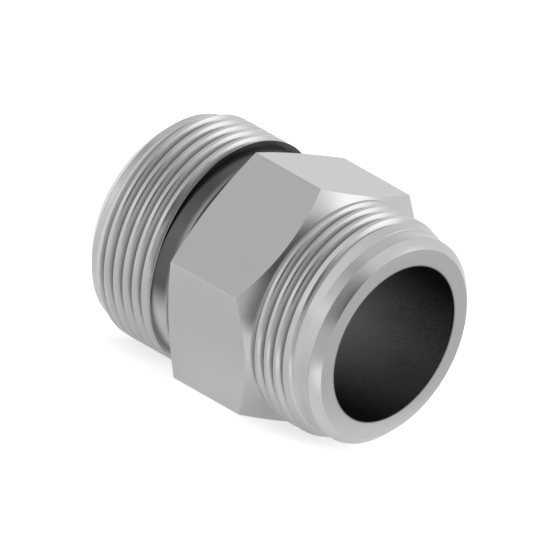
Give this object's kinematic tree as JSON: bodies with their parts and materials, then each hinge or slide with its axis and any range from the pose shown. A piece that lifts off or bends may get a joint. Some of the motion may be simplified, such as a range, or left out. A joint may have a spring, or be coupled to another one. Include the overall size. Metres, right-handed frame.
{
  "type": "male threaded hexagon adapter",
  "caption": "Straight one-piece hexagon adapter with a male thread and a plain chamfered land at each end, a relieved neck behind the hexagon and a plain bore right through.",
  "frame": {"origin": "on the bore axis, midway between the front and rear edges of the hexagon's flats", "axes": "+X along the bore axis, out of the shorter threaded end; +Z square to one flat of the hexagon, away from the flat that the part lies on; +Y through a corner"},
  "size_m": [0.0525, 0.0458, 0.0396],
  "materials": {
    "plated_steel": "satin"
  },
  "bodies": {
    "root": {"adapter_body": "plated_steel"}
  },
  "joints": []
}
